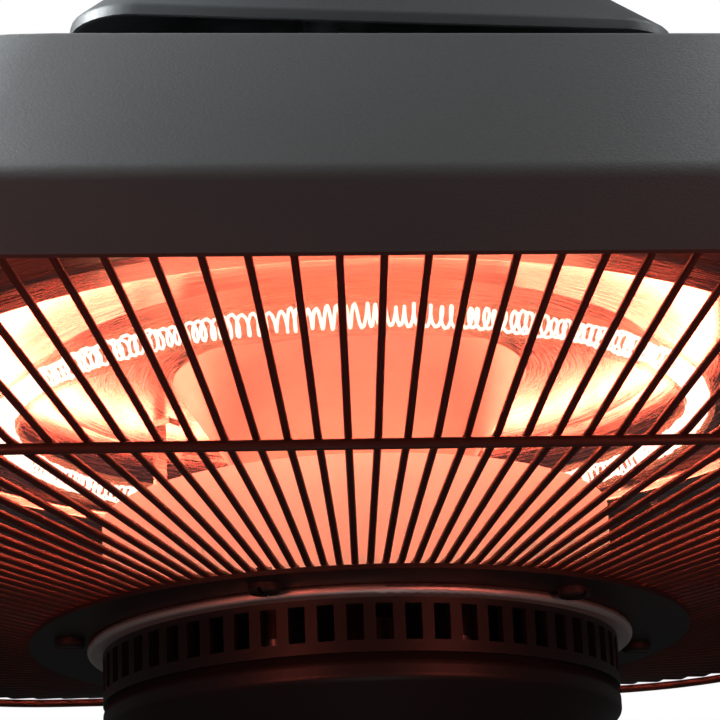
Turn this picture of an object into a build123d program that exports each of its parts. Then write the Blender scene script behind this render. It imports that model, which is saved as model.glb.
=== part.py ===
from build123d import *
import os
from math import cos, hypot, pi, radians, sin, sqrt, tan

# Square pendant ceiling heater with a ring-shaped quartz lamp, in millimetres.
# Heights are measured from the plane of the hood's lower rim, +Z up. Each piece is
# moved down at export, so that the origin lies where the bracket meets the ceiling.
# The supply end of the heater, with the cable gland, is on the +Y side.
os.makedirs("parts", exist_ok=True)

# Hood: one pressed shell, square with large rounded corners.
rim_half = 212.5
rim_corner = 115
hood_foot_height = 0.9
skirt_flare = 6.5
crease_height = 21
crease_half = rim_half - skirt_flare
top_half = 163
top_corner = 86
top_height = 71
hood_sheet = 1.2
crease_bend = 16
top_bend = 6
bend_steps = 4

# Steel plate on the hood, and the wiring box on it.
top_plate_half = 55
top_plate_corner = 10
top_plate_thickness = 2
plate_screw_place = 46
box_half = 38
box_corner = 6
box_wall = 2
box_depth = 34
box_lid_thickness = 2
box_screw_place = 31
terminal_length = 44
terminal_width = 14
terminal_height = 14
terminal_offset = 22
earth_stud_radius = 2.5
earth_stud_height = 9

# Cable gland in the wiring box's rear wall.
gland_thread_radius = 8
gland_bore_radius = 4.2
gland_hex_apothem = 11
gland_hex_length = 6
gland_nose_radius = 9.5
gland_nose_length = 14
gland_tail_length = 5
gland_nut_length = 4

# Roof cap: square pyramid of sheet on a spacer, turned a little on the stem.
cap_half = 80
cap_corner = 16
cap_turn = 4
cap_hem = 3
cap_foot_height = 115
cap_top_half = 35
cap_top_corner = 9
cap_top_height = 165
cap_sheet = 1.2
cap_bend = 5
spacer_radius = 10

# Hollow threaded stem, its nuts and washers.
stem_radius = 6
stem_bore_radius = 4
stem_clearance = 0.25
stem_top_reserve = 2
nut_apothem = 9.5
nut_height = 6
washer_radius = 15
washer_thickness = 1.5

# Hanging yoke, ceiling plate, its bracket and the pivot pin.
yoke_thickness = 3
yoke_width = 20
yoke_inside = 26
yoke_web_above_cap = 42
yoke_swivel_clearance = 0.08
pivot_above_web = 25
pivot_radius = 4
pivot_clearance = 0.05
side_gap = 0.3
bracket_thickness = 3
bracket_width = 18
bracket_drop = 24
ceiling_plate_radius = 48
ceiling_plate_thickness = 3
ceiling_hole_radius = 3.3
ceiling_hole_circle = 74
ceiling_hole_count = 4
pin_head_radius = 6.5
pin_head_length = 3
pin_end_length = 4
pin_groove_radius = 3
pin_groove_width = 1.3
clip_radius = 6
clip_thickness = 1.1
clip_slot_half = 2.4
rivet_place = 6
rivet_radius = 2
rivet_head_radius = 4
rivet_head_height = 1.6

# Reflector, heat shield and the cone round the stem.
reflector_height = 40
reflector_flat_radius = 86
reflector_rim_radius = 131
reflector_rim_height = 32.4
reflector_foot_height = 28.4
reflector_sheet = 0.8
reflector_flat_bend = 5
reflector_rim_bend = 1.5
reflector_foot_bend = 1.2
reflector_flange = 12
shield_sheet = 1
shield_gap = 0.3
cone_top_radius = 49
cone_rim_radius = 23
cone_foot_radius = 20
cone_foot_drop = 8
cone_sheet = 0.8
cone_collar_radius = 8
post_radius = 5
post_place = 107
post_screw_radius = 2

# Ring lamp: quartz tube whose two ends turn up through the reflector.
lamp_radius = 95.4
lamp_height = 27
lamp_tube_radius = 4.8
lamp_wall = 1
lamp_gap_angle = 14
lamp_end_bend = 12
lamp_end_rise = 8
lamp_hole_clearance = 0.7
cap_body_radius = 7.5
cap_body_length = 15
cap_clearance = 0.15
seal_radius = 3
coil_radius = 2.5
coil_wire_radius = 0.42
coil_turns = 96
lead_radius = 1.1
lead_rise = 3
lead_bend = 5
lead_spread = 16
lead_hole_clearance = 0.5
clip_wire_radius = 0.7
clip_angles = (62, 118)

# Drum between the reflector and the hub, with two stays to the reflector.
drum_radius = 68.8
drum_sheet = 0.8
drum_base_thickness = 1.5
insulation_thickness = 8
stay_angles = (52, 141)
stay_width = 5
stay_thickness = 1
stay_lap = 6

# Grille: radial wires on a frame wire, a middle wire and the hub plate.
wire_radius = 0.9
wire_count = 148
wire_groups = ("front", "right", "back", "left")
wire_turn = -0.63
wire_tip_height = 2.6
wire_tip_gap = 0.5
wire_middle_bend = 12
wire_end_bend = 6
wire_flat_radius = 88
wire_end_radius = 83
frame_wire_radius = 1.5
frame_wire_inset = 1.8
middle_half = 152.6
middle_corner = 70
middle_height = -19
middle_wire_radius = 1.25
weld_gap = 0.1
frame_clip_width = 6
frame_clip_height = 12
frame_clip_sheet = 1.5

# Hub under the grille.
hub_plate_radius = 88.5
hub_plate_height = -32.7
hub_plate_thickness = 1.2
hub_plate_hole_radius = 58
trim_radius = 73.1
trim_hole_radius = 58
trim_thickness = 2.5
vent_radius = 69
vent_wall = 3
vent_height = 13.5
vent_top_band = 1.6
vent_bottom_band = 2.9
vent_slot_count = 60
vent_slot_width = 4.2
cup_edge_radius = 67.9
cup_belly_radius = 69
cup_belly_drop = 2.6
cup_wall_drop = 6.4
cup_floor_radius = 57
cup_depth = 18.4
cup_wall = 2
cup_fillet = 2.5
chassis_radius = 65.5
chassis_thickness = 1.5
hub_screw_circle = 156.4
hub_screw_count = 6
hub_screw_turn = 8
cup_post_radius = 4
cup_post_place = 48
cup_post_count = 3
cup_post_turn = 30

# Control board, buttons and windows in the hub.
board_length = 66
board_width = 58
board_thickness = 1.6
board_above_floor = 10
board_post_radius = 3
board_post_place = 24
relay_length = 18
relay_width = 14
relay_height = 12
relay_place = 21.5
relay_offset = 4
can_radius = 4
can_place = 13
switch_size = 5.4
switch_height = 3.4
button_place = 14
button_radius = 6
button_clearance = 0.3
button_proud = 1.5
button_travel = 1.5
button_flange_radius = 7.6
button_flange_thickness = 1
button_stem_radius = 1.8
button_reserve = 0.25
spring_radius = 4.4
spring_wire_radius = 0.4
spring_turns = 4
lens_radius = 2.5
lens_place = 14
receiver_radius = 7
receiver_place = 16
window_thickness = 1.6
panel_radius = 31
panel_recess = 0.8
panel_clearance = 0.2

# Machine screws.
screw_head_radius = 4
screw_head_height = 2.2
screw_shank_radius = 2
screw_slot_width = 1
screw_slot_depth = 1
screw_clearance = 0.3
seat_gap = 0.3
cut_margin = 1

# Heights that follow from the sizes above.
top_plate_top = top_height + top_plate_thickness
box_top = top_plate_top + box_depth
lid_top = box_top + box_lid_thickness
yoke_web_height = cap_top_height + yoke_web_above_cap
yoke_web_top = yoke_web_height + yoke_thickness
pivot_height = yoke_web_top + pivot_above_web
bracket_top = pivot_height + bracket_drop
ceiling_height = bracket_top + bracket_thickness + ceiling_plate_thickness
trim_top = hub_plate_height - hub_plate_thickness
vent_top = trim_top - trim_thickness
cup_top = vent_top - vent_height
cup_floor = cup_top - cup_depth
floor_inside = cup_floor + cup_wall
chassis_bottom = vent_top - chassis_thickness
board_bottom = floor_inside + board_above_floor
board_top = board_bottom + board_thickness
drum_floor = hub_plate_height + drum_base_thickness


def save(name, shape):
    """Write one piece, moved so that the ceiling mount is the origin."""
    export_step(Pos(0, 0, -ceiling_height) * shape, f"parts/{name}.step")
    print(name, round(shape.volume))
    return shape


def tube(outer, inner, low, high):
    body = Cylinder(outer, high - low) - Cylinder(inner, high - low + 2 * cut_margin)
    return Pos(0, 0, (low + high) / 2) * body


def disc(radius, low, high):
    return Pos(0, 0, (low + high) / 2) * Cylinder(radius, high - low)


def square_slab(half, corner, low, high):
    return Pos(0, 0, low) * extrude(RectangleRounded(2 * half, 2 * half, corner), high - low)


def rounded_profile(corners, bend):
    """Round the inner corners of a (half width, height) line with short chords."""
    line = [corners[0]]
    for before, here, after in zip(corners, corners[1:], corners[2:]):
        first = Vector(before[0] - here[0], before[1] - here[1]).normalized()
        second = Vector(after[0] - here[0], after[1] - here[1]).normalized()
        half_angle = radians(first.get_angle(second)) / 2
        reach = bend / tan(half_angle)
        centre = Vector(*here) + (first + second).normalized() * (bend / sin(half_angle))
        start = Vector(*here) + first * reach - centre
        end = Vector(*here) + second * reach - centre
        sweep_angle = radians(start.get_angle(end))
        for step in range(bend_steps + 1):
            part = step / bend_steps
            spoke = start * sin((1 - part) * sweep_angle) + end * sin(part * sweep_angle)
            point = centre + spoke * (1 / sin(sweep_angle))
            line.append((point.X, point.Y))
    line.append(corners[-1])
    return line


def offset_profile(corners, distance):
    """Move a falling-inward (half width, height) line inwards by a sheet's thickness."""
    moved = []
    for place, (half, height) in enumerate(corners):
        normals = []
        for first, second in ((place - 1, place), (place, place + 1)):
            if 0 <= first and second < len(corners):
                run = corners[second][0] - corners[first][0]
                rise = corners[second][1] - corners[first][1]
                normals.append(Vector(-rise, run) * (1 / hypot(run, rise)))
        total = sum(normals[1:], normals[0])
        scale = distance / total.dot(normals[0])
        moved.append((half + total.X * scale, height + total.Y * scale))
    return moved


def square_loft(profile, low_size, high_size):
    """Rounded squares along a profile; sizes are (half, corner) pairs that set the corners."""
    slope = (low_size[1] - high_size[1]) / (low_size[0] - high_size[0])
    sections = []
    for half, height in profile:
        corner = high_size[1] + slope * (half - high_size[0])
        sections.append(Pos(0, 0, height) * RectangleRounded(2 * half, 2 * half, corner))
    return loft(sections, ruled=True)


def square_reach(half, corner, angle):
    """Distance from the axis to a rounded square's outline in one direction."""
    along, across = abs(cos(angle)), abs(sin(angle))
    if along < across:
        along, across = across, along
    flat = half / along
    if flat * across <= half - corner:
        return flat
    centre = half - corner
    dot = centre * (along + across)
    return dot + sqrt(dot * dot - 2 * centre * centre + corner * corner)


def square_wire(half, corner, height, radius):
    path = (Pos(0, 0, height) * RectangleRounded(2 * half, 2 * half, corner)).wire()
    return sweep(Plane(origin=path @ 0, z_dir=path % 0) * Circle(radius), path=path)


def hexagon(apothem, low, high):
    return Pos(0, 0, low) * extrude(RegularPolygon(apothem, 6, major_radius=False), high - low)


def nut(low):
    bore = disc(stem_radius, low - cut_margin, low + 2 * nut_height)
    return hexagon(nut_apothem, low, low + nut_height) - bore


def washer(low):
    return tube(washer_radius, stem_radius + stem_clearance, low, low + washer_thickness)


def screw(length):
    """Pan-head screw with its head's seat at z = 0 and the shank going down."""
    head = disc(screw_head_radius, 0, screw_head_height)
    head = fillet(head.edges().sort_by(Axis.Z)[-1], screw_head_height * 0.45)
    shank = disc(screw_shank_radius, -length, 0)
    slot = Pos(0, 0, screw_head_height) * Box(3 * screw_head_radius, screw_slot_width, 2 * screw_slot_depth)
    return head + shank - slot


def around(count, radius, turn, piece):
    """Copies of a piece on a circle, as separate solids."""
    places = [Rot(0, 0, turn + 360 * n / count) * Pos(radius, 0, 0) for n in range(count)]
    return Compound(children=[place * piece for place in places])


def at_corners(place, piece):
    spots = [(x, y) for x in (-place, place) for y in (-place, place)]
    return Compound(children=[Pos(x, y, 0) * piece for x, y in spots])


def smooth_tube(points, directions, radius):
    """One round tube through points with given directions, two arcs from each to the next."""
    edges = []
    for start, end, first, last in zip(points, points[1:], directions, directions[1:]):
        chord = end - start
        closing = 2 * (1 - first.dot(last))
        along = chord.dot(first + last)
        if closing < 1e-9:
            reach = chord.dot(chord) / (2 * along)
        else:
            reach = (sqrt(along * along + closing * chord.dot(chord)) - along) / closing
        middle = (start + end + (first - last) * reach) * 0.5
        edges.append(Edge.make_tangent_arc(start, first, middle))
        edges.append(Edge.make_tangent_arc(middle, middle - start - first * reach, end))
    lead_in = Edge.make_line(points[0] - directions[0] * 2 * radius, points[0])
    lead_out = Edge.make_line(points[-1], points[-1] + directions[-1] * 2 * radius)
    path = Wire([lead_in] + edges + [lead_out])
    section = Plane(origin=path @ 0, z_dir=directions[0]) * Circle(radius)
    return sweep(section, path=path)


def wound_tube(centre_line, turns, radius, wire, name):
    """A coil round a centre line given as a function of 0 to 1; prints its least gap to itself."""
    def place(part):
        origin, outward, upward = centre_line(part)
        angle = 2 * pi * turns * part
        return origin + outward * (radius * cos(angle)) + upward * (radius * sin(angle))

    stops = [n / (4 * turns) for n in range(4 * turns + 1)]
    nudge = 1e-5
    points = [place(stop) for stop in stops]
    directions = [(place(stop + nudge) - place(stop - nudge)).normalized() for stop in stops]
    checks = [place(n / (16 * turns)) for n in range(16 * turns + 1)]
    least = min((checks[n] - checks[m]).length
                for n in range(len(checks)) for m in range(n + 10, min(n + 40, len(checks))))
    print(name, "least gap to itself", round(least - 2 * wire, 2))
    return smooth_tube(points, directions, wire)


def skirt_slope():
    return (rim_half - crease_half) / (crease_height - hood_foot_height)


def skirt_inside(height):
    """Half-width inside the hood's skirt at one height."""
    slope = skirt_slope()
    return rim_half - slope * (height - hood_foot_height) - hood_sheet * hypot(1, slope)


def hood_corner(half):
    """Corner radius of the hood where it has one half-width."""
    return top_corner + (rim_corner - top_corner) * (half - top_half) / (rim_half - top_half)


def hood():
    corners = [(rim_half, hood_foot_height), (crease_half, crease_height),
               (top_half, top_height), (0, top_height)]
    inner_corners = offset_profile(corners, hood_sheet)
    outer = square_loft(trimmed(corners, crease_bend), (rim_half, rim_corner), (top_half, top_corner))
    inner_line = trimmed(inner_corners, crease_bend - hood_sheet)
    half, height = inner_line[0]
    inner_line[0] = (half + skirt_slope() * cut_margin, height - cut_margin)
    inner = square_loft(inner_line, (rim_half, rim_corner), (top_half, top_corner))
    hole = disc(screw_shank_radius + screw_clearance, top_height - 2 * hood_sheet, top_height + cut_margin)
    shell = outer - inner - at_corners(post_place, hole) - at_corners(plate_screw_place, hole)
    return shell - stem_and_lead_holes(top_height - 2 * hood_sheet, top_height + cut_margin)


def lead_hole_places():
    """Left and right places where the lamp's leads rise into the wiring box."""
    x = stem_radius + stem_clearance + lead_radius + 3
    return ((-x, lead_spread), (x, lead_spread))


def stem_and_lead_holes(low, high):
    holes = [disc(stem_radius + stem_clearance, low, high)]
    lead_hole = disc(lead_radius + lead_hole_clearance, low, high)
    return Compound(children=holes + [Pos(x, y, 0) * lead_hole for x, y in lead_hole_places()])


def trimmed(corners, bend):
    """Round both bends of the hood's line and drop its flat top, which closes the loft."""
    line = rounded_profile(corners[:3], bend)[:-1]
    line += rounded_profile(corners[1:], top_bend)[1:-1]
    return line


def top_plate():
    plate = square_slab(top_plate_half, top_plate_corner, top_height, top_plate_top)
    hole = disc(screw_shank_radius + screw_clearance, top_height - cut_margin, top_plate_top + cut_margin)
    openings = stem_and_lead_holes(top_height - cut_margin, top_plate_top + cut_margin)
    return plate - openings - at_corners(plate_screw_place, hole)


def wiring_box():
    walls = square_slab(box_half, box_corner, top_plate_top, box_top)
    room = square_slab(box_half - box_wall, box_corner - box_wall,
                       top_plate_top + box_wall, box_top + cut_margin)
    pillar = square_slab(5, 1.5, top_plate_top + box_wall, box_top)
    shell = walls - room
    for x in (-box_screw_place, box_screw_place):
        for y in (-box_screw_place, box_screw_place):
            shell += Pos(x, y, 0) * pillar
    holes = disc(screw_shank_radius, box_top - 12, box_top + cut_margin)
    shell -= stem_and_lead_holes(top_plate_top - cut_margin, box_top)
    gland_hole = gland_axis() * Cylinder(gland_thread_radius, 4 * box_wall)
    return shell - at_corners(box_screw_place, holes) - gland_hole


def gland_axis():
    """Middle of the rear wall's outer face, with +Z pointing out of the box."""
    return Pos(0, box_half, (top_plate_top + box_top) / 2) * Rot(-90, 0, 0)


def cable_gland():
    body = disc(gland_thread_radius, -box_wall - gland_tail_length, 0)
    body += hexagon(gland_hex_apothem, 0, gland_hex_length)
    nose = disc(gland_nose_radius, gland_hex_length, gland_hex_length + gland_nose_length)
    nose = fillet(nose.edges().sort_by(Axis.Z)[-1], 3)
    bore = Cylinder(gland_bore_radius, 4 * gland_nose_length)
    return gland_axis() * (body + nose - bore)


def gland_nut():
    low = -box_wall - gland_nut_length
    ring = hexagon(gland_hex_apothem, low, -box_wall) - disc(gland_thread_radius, low - cut_margin, 0)
    return gland_axis() * ring


def box_lid():
    plate = square_slab(box_half, box_corner, box_top, lid_top)
    hole = disc(screw_shank_radius + screw_clearance, box_top - cut_margin, lid_top + cut_margin)
    stem_hole = disc(stem_radius + stem_clearance, box_top - cut_margin, lid_top + cut_margin)
    return plate - stem_hole - at_corners(box_screw_place, hole)


def terminal_block():
    floor = top_plate_top + box_wall
    block = Box(terminal_length, terminal_width, terminal_height)
    block = fillet(block.edges().filter_by(Axis.Z), 1)
    for place in (-1.5, -0.5, 0.5, 1.5):
        x = place * terminal_length / 4
        block -= Pos(x, 0, 0) * Rot(90, 0, 0) * Cylinder(1.8, 2 * terminal_width)
        block -= Pos(x, 0, terminal_height / 2) * Cylinder(2.2, 5)
    return Pos(0, -terminal_offset, floor + terminal_height / 2) * block


def earth_stud():
    floor = top_plate_top + box_wall
    stud = Pos(terminal_offset, 0, 0) * disc(earth_stud_radius, floor, floor + earth_stud_height)
    ring = Pos(terminal_offset, 0, 0) * hexagon(2 * earth_stud_radius, floor, floor + earth_stud_height / 2)
    return stud + ring


def roof_cap():
    corners = [(cap_half, cap_foot_height - cap_hem), (cap_half, cap_foot_height),
               (cap_top_half, cap_top_height), (0, cap_top_height)]
    inner = offset_profile(corners, cap_sheet)
    sizes = ((cap_half, cap_corner), (cap_top_half, cap_top_corner))
    outer_line = rounded_profile(corners[:3], 2)[:-1] + rounded_profile(corners[1:], cap_bend)[1:-1]
    inner_line = rounded_profile(inner[:3], 1)[:-1] + rounded_profile(inner[1:], cap_bend)[1:-1]
    start = inner_line[0]
    inner_line[0] = (start[0], start[1] - cut_margin)
    shell = Rot(0, 0, cap_turn) * (square_loft(outer_line, *sizes) - square_loft(inner_line, *sizes))
    low = cap_top_height - 4 * cap_sheet
    return shell - disc(stem_radius + stem_clearance, low, cap_top_height + cut_margin)


def cap_spacer():
    return tube(spacer_radius, stem_radius + stem_clearance, lid_top, cap_top_height - cap_sheet)


def stem():
    bottom = chassis_bottom - nut_height - stem_top_reserve
    return tube(stem_radius, stem_bore_radius, bottom, stem_top())


def stem_top():
    return yoke_web_top + side_gap + nut_height + stem_top_reserve


def nut_places():
    """Undersides of the nuts on the stem, from the hub up to the yoke."""
    return (chassis_bottom - nut_height, drum_floor, top_height - hood_sheet - nut_height - washer_thickness,
            cap_top_height + washer_thickness, yoke_web_height - side_gap - nut_height,
            yoke_web_top + side_gap)


def washer_places():
    return (top_height - hood_sheet - washer_thickness, cap_top_height)


def yoke():
    leg_top = pivot_height - yoke_web_height
    outside = yoke_inside + 2 * yoke_thickness
    block = Pos(0, 0, yoke_web_height + leg_top / 2) * Box(outside, yoke_width, leg_top)
    block = fillet(block.edges().filter_by(Axis.Y).group_by(Axis.Z)[0], yoke_thickness)
    ends = Pos(0, 0, pivot_height) * Rot(0, 90, 0) * Cylinder(yoke_width / 2, outside)
    room = Pos(0, 0, yoke_web_top + leg_top) * Box(yoke_inside, 2 * yoke_width, 2 * leg_top)
    eye = Pos(0, 0, pivot_height) * Rot(0, 90, 0) * Cylinder(pivot_radius + pivot_clearance, 2 * outside)
    hole = disc(stem_radius + yoke_swivel_clearance, yoke_web_height - cut_margin, yoke_web_top + cut_margin)
    return block + ends - room - eye - hole


def ceiling_plate():
    low = bracket_top + bracket_thickness
    plate = disc(ceiling_plate_radius, low, ceiling_height)
    plate = fillet(plate.edges().sort_by(Axis.Z)[0], 1.2)
    hole = disc(ceiling_hole_radius, low - cut_margin, ceiling_height + cut_margin)
    holes = around(ceiling_hole_count, ceiling_hole_circle / 2, 45, hole)
    rivet_hole = disc(rivet_radius, low - cut_margin, ceiling_height + cut_margin)
    rivets = Pos(0, rivet_place, 0) * rivet_hole + Pos(0, -rivet_place, 0) * rivet_hole
    return plate - holes - rivets


def bracket():
    outside = yoke_inside - 2 * side_gap
    drop = bracket_top + bracket_thickness - pivot_height
    block = Pos(0, 0, pivot_height + drop / 2) * Box(outside, bracket_width, drop)
    ends = Pos(0, 0, pivot_height) * Rot(0, 90, 0) * Cylinder(bracket_width / 2, outside)
    room = Pos(0, 0, bracket_top - drop) * Box(outside - 2 * bracket_thickness, 2 * bracket_width, 2 * drop)
    eye = Pos(0, 0, pivot_height) * Rot(0, 90, 0) * Cylinder(pivot_radius, 2 * outside)
    rivet_hole = disc(rivet_radius, bracket_top - cut_margin, ceiling_height)
    rivets = Pos(0, rivet_place, 0) * rivet_hole + Pos(0, -rivet_place, 0) * rivet_hole
    return block + ends - room - eye - rivets


def bracket_rivets():
    shank = disc(rivet_radius, bracket_top, ceiling_height)
    head = disc(rivet_head_radius, bracket_top - rivet_head_height, bracket_top)
    head = fillet(head.edges().sort_by(Axis.Z)[0], rivet_head_height * 0.6)
    rivet = shank + head
    return Compound(children=[Pos(0, y, 0) * rivet for y in (-rivet_place, rivet_place)])


def pin_reach():
    """Outer face of the yoke's legs, plus the running gap."""
    return yoke_inside / 2 + yoke_thickness + side_gap


def pivot_pin():
    reach = pin_reach()
    pin = disc(pivot_radius, -reach, reach + pin_end_length)
    pin = chamfer(pin.edges().sort_by(Axis.Z)[-1], 0.6)
    head = disc(pin_head_radius, -reach - pin_head_length, -reach)
    head = fillet(head.edges().sort_by(Axis.Z)[0], 1)
    groove = tube(pivot_radius + cut_margin, pin_groove_radius, reach, reach + pin_groove_width)
    return Pos(0, 0, pivot_height) * Rot(0, 90, 0) * (pin + head - groove)


def pin_clip():
    low = pin_reach() + (pin_groove_width - clip_thickness) / 2
    ring = tube(clip_radius, pin_groove_radius, low, low + clip_thickness)
    mouth = Pos(clip_radius, 0, low) * Box(2 * clip_radius, 2 * clip_slot_half, 4 * clip_thickness)
    return Pos(0, 0, pivot_height) * Rot(0, 90, 0) * (ring - mouth)


def turned(outline):
    """Solid of revolution about Z from a closed (radius, height) outline."""
    face = make_face(Polyline(*outline, close=True))
    return revolve(Plane.XZ * face, Axis.Z)


def reflector_underside(radius):
    """Height of the reflector's lower face, flat in the middle and falling towards its rim."""
    slope = (reflector_height - reflector_rim_height) / (reflector_rim_radius - reflector_flat_radius)
    return reflector_height - slope * max(0, radius - reflector_flat_radius)


def reflector():
    hole = stem_radius + stem_clearance
    lift = reflector_sheet
    edge = reflector_rim_radius + reflector_flange
    line = FilletPolyline(
        (hole, reflector_height), (reflector_flat_radius, reflector_height),
        (reflector_rim_radius, reflector_rim_height), (reflector_rim_radius, reflector_foot_height),
        (edge, reflector_foot_height),
        radius=(reflector_flat_bend, reflector_rim_bend, reflector_foot_bend))
    upper = FilletPolyline(
        (hole, reflector_height + lift), (reflector_flat_radius, reflector_height + lift),
        (reflector_rim_radius + lift, reflector_underside(reflector_rim_radius + lift) + lift),
        (reflector_rim_radius + lift, reflector_foot_height + lift), (edge, reflector_foot_height + lift),
        radius=(reflector_flat_bend + lift, reflector_rim_bend + lift, reflector_foot_bend - lift))
    sides = [Line(line @ 0, upper @ 0), Line(line @ 1, upper @ 1)]
    face = make_face(Wire([*line.edges(), *upper.edges(), *[side.edge() for side in sides]]))
    pan = revolve(Plane.XZ * face, Axis.Z)
    lamp_hole = disc(lamp_tube_radius + lamp_hole_clearance,
                     reflector_foot_height, reflector_height + cut_margin)
    return pan - Compound(children=[Pos(x, y, 0) * lamp_hole for x, y in lamp_end_places()])


def slope_inside(height):
    """Half-width inside the hood's sloping face at one height."""
    run = crease_half - top_half
    rise = top_height - crease_height
    return crease_half - run * (height - crease_height) / rise - hood_sheet * hypot(run, rise) / rise


def heat_shield():
    low = reflector_foot_height + reflector_sheet
    half = slope_inside(low + shield_sheet) - shield_gap
    plate = square_slab(half, hood_corner(half), low, low + shield_sheet)
    hole = disc(reflector_rim_radius + reflector_sheet + shield_gap, low - cut_margin, low + 2 * cut_margin)
    return plate - hole - at_corners(post_place, disc(screw_shank_radius + screw_clearance,
                                                      low - cut_margin, low + 2 * cut_margin))


def shield_top():
    return reflector_foot_height + reflector_sheet + shield_sheet


def shield_posts():
    post = tube(post_radius, post_screw_radius, shield_top(), top_height - hood_sheet)
    return at_corners(post_place, post)


def core_cone():
    outer = [(cone_top_radius, reflector_height), (cone_rim_radius, 0), (cone_foot_radius, -cone_foot_drop),
             (cone_collar_radius, -cone_foot_drop)]
    inner = [(cone_collar_radius, cone_sheet - cone_foot_drop),
             (cone_foot_radius - cone_sheet, cone_sheet - cone_foot_drop),
             (cone_rim_radius - cone_sheet, 0), (cone_top_radius - cone_sheet, reflector_height)]
    return turned(outer + inner)


def lamp_end_places():
    """Centres of the lamp's two upright ends, left and right of the rear."""
    gap = radians(lamp_gap_angle)
    x = lamp_radius * sin(gap) - lamp_end_bend * cos(gap)
    y = lamp_radius * cos(gap) + lamp_end_bend * sin(gap)
    return ((-x, y), (x, y))


def lamp_path():
    """Centre line of the tube: up-turned end, ring, up-turned end."""
    gap = radians(lamp_gap_angle)
    high = lamp_height + lamp_end_bend
    left, right = lamp_end_places()
    ring_left = Vector(-lamp_radius * sin(gap), lamp_radius * cos(gap), lamp_height)
    ring_right = Vector(lamp_radius * sin(gap), lamp_radius * cos(gap), lamp_height)
    front = Vector(0, -lamp_radius, lamp_height)
    down = Vector(0, 0, -1)
    first = Edge.make_line(Vector(*left, high + lamp_end_rise), Vector(*left, high))
    turn_in = Edge.make_tangent_arc(Vector(*left, high), down, ring_left)
    half_left = Edge.make_tangent_arc(ring_left, Vector(-cos(gap), -sin(gap), 0), front)
    half_right = Edge.make_tangent_arc(front, Vector(1, 0, 0), ring_right)
    turn_out = Edge.make_tangent_arc(ring_right, Vector(-cos(gap), sin(gap), 0), Vector(*right, high))
    last = Edge.make_line(Vector(*right, high), Vector(*right, high + lamp_end_rise))
    return first, turn_in, half_left, half_right, turn_out, last


def swept(edges, radius):
    path = Wire(list(edges))
    return sweep(Plane(origin=path @ 0, z_dir=path % 0) * Circle(radius), path=path)


def lamp_tube():
    edges = lamp_path()
    return swept(edges, lamp_tube_radius) - swept(edges, lamp_tube_radius - lamp_wall)


def coil_margin():
    """Angle at each end of the ring that the coil leaves to the seal's straight run."""
    return radians(lamp_gap_angle) + 4 * coil_wire_radius / lamp_radius


def filament():
    start = pi / 2 + coil_margin()
    extent = 2 * pi - 2 * coil_margin()

    def centre_line(part):
        angle = start + extent * part
        outward = Vector(cos(angle), sin(angle), 0)
        return outward * lamp_radius + Vector(0, 0, lamp_height), outward, Vector(0, 0, 1)

    return wound_tube(centre_line, coil_turns, coil_radius, coil_wire_radius, "lamp_filament")


def lamp_seals():
    """Solid rods in the tube's two turned-up ends, which hold the coil's ends."""
    edges = lamp_path()
    return Compound(children=[swept(edges[:2], seal_radius), swept(edges[4:], seal_radius)])


def lamp_end_caps():
    inner_side = hypot(*lamp_end_places()[0]) - cap_body_radius
    low = reflector_underside(inner_side) + reflector_sheet
    body = disc(cap_body_radius, low, low + cap_body_length)
    body = fillet(body.edges().sort_by(Axis.Z)[-1], 1.5)
    socket_top = lamp_height + lamp_end_bend + lamp_end_rise + cap_clearance
    body -= disc(lamp_tube_radius + cap_clearance, low - cut_margin, socket_top)
    body -= disc(lead_radius, socket_top - cut_margin, low + cap_body_length + cut_margin)
    return Compound(children=[Pos(x, y, 0) * body for x, y in lamp_end_places()])


def lamp_leads():
    """Insulated leads from the end caps over the reflector and up into the wiring box."""
    low = lamp_height + lamp_end_bend + lamp_end_rise + cap_clearance
    run = reflector_height + reflector_sheet + cap_body_length + lead_rise + lead_bend
    leads = []
    high = top_plate_top + box_wall + lead_rise + lead_bend
    for (x, y), (hole_x, hole_y) in zip(lamp_end_places(), lead_hole_places()):
        points = [(x, y, low), (x, y, run), (hole_x, hole_y, run), (hole_x, hole_y, high)]
        path = FilletPolyline(*points, radius=lead_bend)
        leads.append(swept(path.edges(), lead_radius))
    return Compound(children=leads)


def lamp_clips():
    """Wire loops that hang from the reflector and hold the tube behind the drum."""
    loop_radius = lamp_tube_radius + clip_wire_radius + 0.1
    ring = Rot(90, 0, 0) * Torus(loop_radius, clip_wire_radius)
    leg_low = lamp_height + loop_radius
    leg = disc(clip_wire_radius, leg_low, reflector_underside(lamp_radius + clip_wire_radius))
    clips = []
    for angle in clip_angles:
        place = Rot(0, 0, angle) * Pos(lamp_radius, 0, 0)
        clips.append(place * (Pos(0, 0, lamp_height) * ring + leg))
    return Compound(children=clips)


def drum():
    return tube(drum_radius, drum_radius - drum_sheet, hub_plate_height, 0)


def drum_base():
    return tube(drum_radius - drum_sheet, stem_radius + stem_clearance, hub_plate_height, drum_floor)


def insulation():
    radius = drum_radius - drum_sheet - seat_gap
    return tube(radius, nut_apothem + 3, drum_floor, drum_floor + insulation_thickness)


def drum_stays():
    inside = sqrt((drum_radius - drum_sheet) ** 2 - (stay_width / 2) ** 2) - weld_gap
    strip = Pos(inside - stay_thickness / 2, 0, (reflector_height - stay_lap) / 2)
    strip *= Box(stay_thickness, stay_width, reflector_height + stay_lap)
    foot = Pos(inside - stay_lap / 2, 0, reflector_height - stay_thickness / 2)
    foot *= Box(stay_lap, stay_width, stay_thickness)
    return Compound(children=[Rot(0, 0, angle) * (strip + foot) for angle in stay_angles])


def tip_half():
    """Half-width of the square on which the wires' tips end, inside the skirt."""
    return skirt_inside(wire_tip_height + wire_radius) - wire_tip_gap


def flat_height():
    return hub_plate_height + wire_radius + weld_gap


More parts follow.
